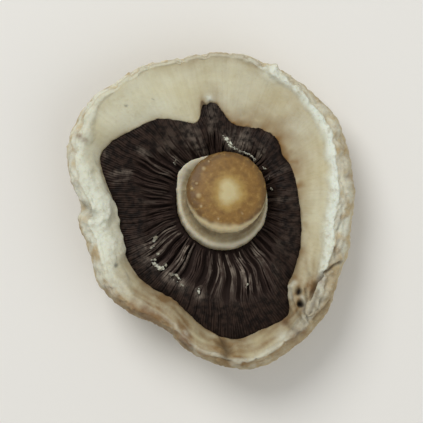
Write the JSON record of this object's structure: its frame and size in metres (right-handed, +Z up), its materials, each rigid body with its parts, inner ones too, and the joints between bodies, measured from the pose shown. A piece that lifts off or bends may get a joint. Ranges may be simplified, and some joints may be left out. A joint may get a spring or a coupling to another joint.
{
  "type": "button mushroom",
  "caption": "Dried cross slice of a button mushroom cap lying gills up: a pale cap, a ring of dark gills and a short cut stem.",
  "frame": {"origin": "on the surface that the slice rests on, under the middle of its box", "axes": "+Z up out of the gills, the shortest extent; +Y away along the longest extent, towards the broad band of flesh; +X right"},
  "size_m": [0.0346, 0.0378, 0.0103],
  "materials": {
    "cap_flesh": "matte",
    "gill_tissue": "matte",
    "stem_tissue": "satin"
  },
  "bodies": {
    "root": {"cap": "cap_flesh", "gills": "gill_tissue", "stem": "stem_tissue"}
  },
  "joints": []
}
